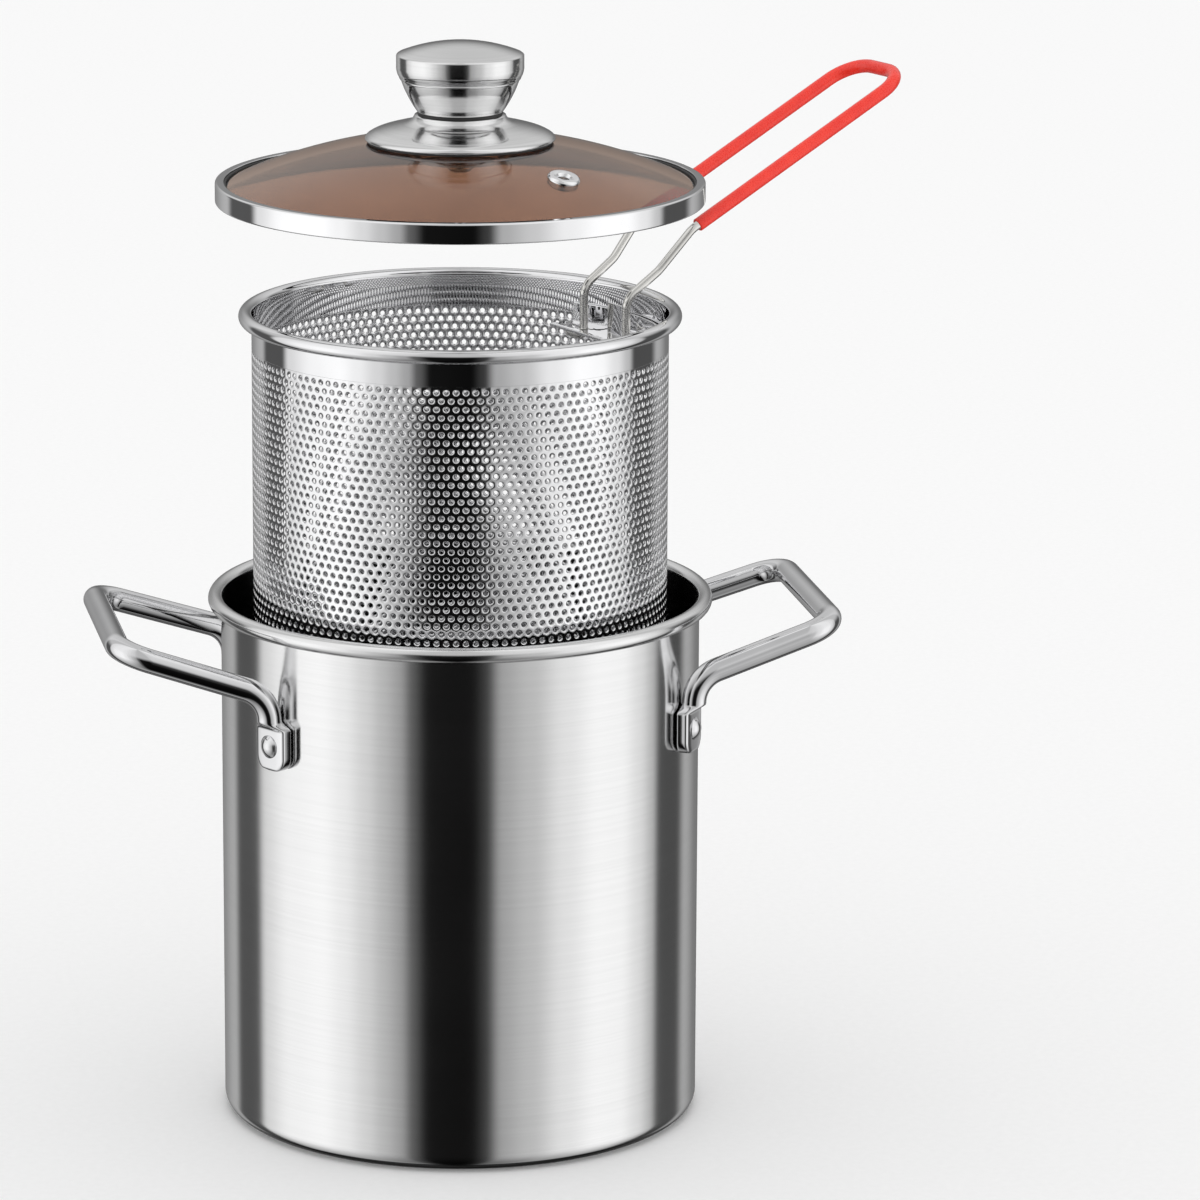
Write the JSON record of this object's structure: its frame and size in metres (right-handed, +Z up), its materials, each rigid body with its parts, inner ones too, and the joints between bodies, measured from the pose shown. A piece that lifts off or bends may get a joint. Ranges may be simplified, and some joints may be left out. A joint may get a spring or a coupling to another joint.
{
  "type": "stovetop deep fryer",
  "caption": "Tall steel frying pot with two side handles, a perforated lift-out basket on a hook-in wire handle, and a brown glass lid with a steel knob.",
  "frame": {"origin": "centre of the pot's flat bottom, on the surface it stands on", "axes": "+Z up along the pot's axis; the two side handles lie along X, and the basket's wire handle points between +X and +Y"},
  "size_m": [0.3547, 0.2108, 0.4535],
  "materials": {
    "pot_steel": "fine circumferential satin brushing",
    "handle_steel": "mirror-polished stainless steel rod and rivets",
    "basket_steel": "polished stainless sheet, punched with rolled round holes",
    "wire_steel": "polished stainless wire",
    "grip_red": "glossy dipped vinyl sleeve",
    "lid_glass": "smoked amber-brown tempered glass",
    "lid_steel": "polished stainless band, eyelet and dish",
    "knob_steel": "polished stainless cap and flange, finely turned sides",
    "seal_black": "black silicone"
  },
  "bodies": {
    "pot": {"pot_body": "pot_steel", "left_handle": "handle_steel", "right_handle": "handle_steel", "left_front_rivet": "handle_steel", "left_back_rivet": "handle_steel", "right_front_rivet": "handle_steel", "right_back_rivet": "handle_steel"},
    "basket": {"basket_wall": "basket_steel", "basket_floor": "basket_steel", "handle_bracket": "basket_steel"},
    "basket_handle": {"wire_handle": "wire_steel", "handle_grip": "grip_red"},
    "lid": {"lid_glass": "lid_glass", "lid_band": "lid_steel", "lid_seal": "seal_black", "vent_eyelet": "lid_steel", "vent_washer": "lid_steel", "knob_flange": "knob_steel", "knob_flange_gasket": "seal_black", "knob_neck_ring": "seal_black", "knob_body": "knob_steel", "knob_cap": "knob_steel", "knob_insert": "lid_steel", "knob_dish": "lid_steel", "knob_dish_gasket": "seal_black", "knob_screw": "lid_steel"}
  },
  "joints": [
    {"name": "basket_lift", "type": "slide", "parent": "pot", "child": "basket", "axis": [0, 0, 1], "range_m": [-0.1255, 0.1]},
    {"name": "handle_release", "type": "slide", "parent": "basket", "child": "basket_handle", "axis": [0, 0, 1], "range_m": [0, 0.018]},
    {"name": "lid_lift", "type": "slide", "parent": "basket", "child": "lid", "axis": [0, 0, 1], "range_m": [0, 0.15]}
  ]
}
